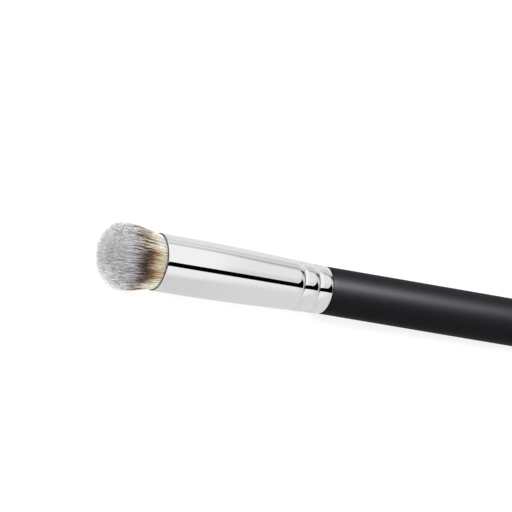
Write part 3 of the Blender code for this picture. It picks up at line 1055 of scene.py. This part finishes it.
def floor_material():
    """White coated paper. To the camera it glows up to white and keeps a faint shadow of the brush."""
    material, tree = new_material("white_paper_floor")
    paper = add_node(tree, "BsdfDiffuse", {"Color": (*linear("F5F5F5"), 1)})
    faint = add_node(tree, "BsdfDiffuse", {"Color": (0.22, 0.22, 0.22, 1)})
    glow = add_node(tree, "Emission", {"Strength": 0.86})
    seen = add_node(tree, "AddShader", {0: faint, 1: glow})
    camera_ray = add_node(tree, "LightPath").outputs["Is Camera Ray"]
    mixed = add_node(tree, "MixShader", {0: camera_ray, 1: paper, 2: seen})
    add_node(tree, "OutputMaterial", {"Surface": mixed})
    return material


def area_lamp(name, power, size, place, target, unseen, across=(0, 0, 1), lit=None):
    """An area lamp at a place, its -Z axis towards a target, its X axis square to that and to across.

    One size makes a disc, two a rectangle. The rays named unseen don't meet it, and it lights only the
    collection lit, if there is one.
    """
    lamp = bpy.data.lights.new(name, "AREA")
    lamp.shape = "DISK" if len(size) == 1 else "RECTANGLE"
    lamp.size, lamp.size_y, lamp.energy = size[0], size[-1], power
    made = bpy.data.objects.new(name, lamp)
    back = (Vector(place) - Vector(target)).normalized()
    side = Vector(across).cross(back).normalized()
    turn = Matrix([side, back.cross(side), back]).transposed()
    made.matrix_world = Matrix.Translation(place) @ turn.to_4x4()
    for ray in unseen:
        setattr(made, "visible_" + ray, False)
    if lit:
        made.light_linking.receiver_collection = lit
    bpy.context.scene.collection.objects.link(made)
    return lamp


class BRUSH_OT_stage(bpy.types.Operator):
    """Set the camera, the lamps, the world and the floor"""

    bl_idname = "brush.stage"
    bl_label = "Stage"

    def execute(self, context):
        scene = context.scene
        settings = scene.brush_stage
        lip = BUTT + LIP_HEIGHT * UP_AXIS

        camera = bpy.data.objects.new("camera", bpy.data.cameras.new("camera"))
        camera.data.lens = settings.lens
        camera.data.sensor_width = 36
        camera.data.clip_start = 0.01
        back = np.array(
            [
                math.sin(CAMERA_TURN) * math.cos(CAMERA_TILT),
                -math.cos(CAMERA_TURN) * math.cos(CAMERA_TILT),
                math.sin(CAMERA_TILT),
            ]
        )
        right = np.array([math.cos(CAMERA_TURN), math.sin(CAMERA_TURN), 0])
        above = np.cross(back, right)
        rolled = math.cos(CAMERA_ROLL) * right + math.sin(CAMERA_ROLL) * above
        columns = [from_brush(way) for way in (rolled, np.cross(back, rolled), back)]
        place = Matrix(np.array(columns).T.tolist()).to_4x4()
        place.translation = lip + from_brush(CAMERA_FROM_LIP)
        camera.matrix_world = place
        scene.collection.objects.link(camera)
        scene.camera = camera

        # The floor takes the brush's shadow, and the metal and the room's light pass it by
        side = settings.floor_size / 2
        corners = np.array([[-side, -side, 0], [side, -side, 0], [side, side, 0], [-side, side, 0]])
        no_triangles = np.zeros((0, 3), int)
        floor = put_mesh("floor", corners, np.array([[0, 1, 2, 3]]), no_triangles, floor_material())
        floor.visible_glossy = floor.visible_diffuse = floor.visible_shadow = False

        # A key lamp from above, three that rim the hair, and a strip that lays the handle's highlight
        area_lamp("key", 1.2, (0.5,), (-0.35, -0.1, 0.65), lip, ("glossy",))
        head = bpy.data.collections.new("head_only")
        for piece in scene.objects:
            if piece.name.startswith("hair_"):
                head.objects.link(piece)
        rims = (("rim_over", above, 3.2), ("rim_under", -above, 3.3), ("rim_ahead", -rolled, 0.55))
        for name, way, power in rims:
            toward = way - 0.5 * back
            place = lip + from_brush(0.6 * toward / np.linalg.norm(toward))
            area_lamp(name, power, (0.4,), place, lip, ("glossy", "camera"), lit=head)
        handle = bpy.data.collections.new("handle_only")
        handle.objects.link(bpy.data.objects["handle_stick"])
        middle = lip + from_brush((0.07, 0, 0))
        place = middle + from_brush(0.3 * turned_way(80, 38))
        axis = from_brush((1, 0, 0))
        strip = area_lamp("handle_strip", 19.0, (0.073, 0.12), place, middle, ("diffuse",), axis, handle)
        strip.color = (0.98, 0.98, 1.1)

        scene.world = studio_world()
        scene.view_settings.view_transform = "Standard"
        return {"FINISHED"}


class BRUSH_PT_panel(bpy.types.Panel):
    """The brush's pieces in the order in which they are made"""

    bl_idname = "BRUSH_PT_panel"
    bl_label = "Makeup Brush"
    bl_space_type = "VIEW_3D"
    bl_region_type = "UI"
    bl_category = "Brush"

    def draw(self, context):
        for group, operators in PANEL_ROWS:
            box = self.layout.box()
            settings = getattr(context.scene, group, None)
            if settings:
                for name in settings.__annotations__:
                    box.prop(settings, name)
            for operator in operators:
                box.operator(operator.bl_idname)


PANEL_ROWS = (
    ("brush_hair", (BRUSH_OT_hair, BRUSH_OT_root)),
    ("brush_ferrule", (BRUSH_OT_ferrule,)),
    ("brush_handle", (BRUSH_OT_handle,)),
    ("", (BRUSH_OT_inside,)),
    ("brush_stage", (BRUSH_OT_stage,)),
)
OPERATORS = tuple(operator for group, operators in PANEL_ROWS for operator in operators)
SETTINGS = {
    "brush_hair": HairSettings,
    "brush_ferrule": FerruleSettings,
    "brush_handle": HandleSettings,
    "brush_stage": StageSettings,
}


def register():
    for name, group in SETTINGS.items():
        bpy.utils.register_class(group)
        setattr(bpy.types.Scene, name, bpy.props.PointerProperty(type=group))
    for cls in (*OPERATORS, BRUSH_PT_panel):
        bpy.utils.register_class(cls)


def unregister():
    for cls in (BRUSH_PT_panel, *reversed(OPERATORS)):
        bpy.utils.unregister_class(cls)
    for name, group in SETTINGS.items():
        delattr(bpy.types.Scene, name)
        bpy.utils.unregister_class(group)


def main():
    register()
    bpy.ops.brush.hair()
    bpy.ops.brush.root()
    bpy.ops.brush.ferrule()
    bpy.ops.brush.handle()
    bpy.ops.brush.inside()
    bpy.ops.brush.stage()


if __name__ == "__main__":
    main()
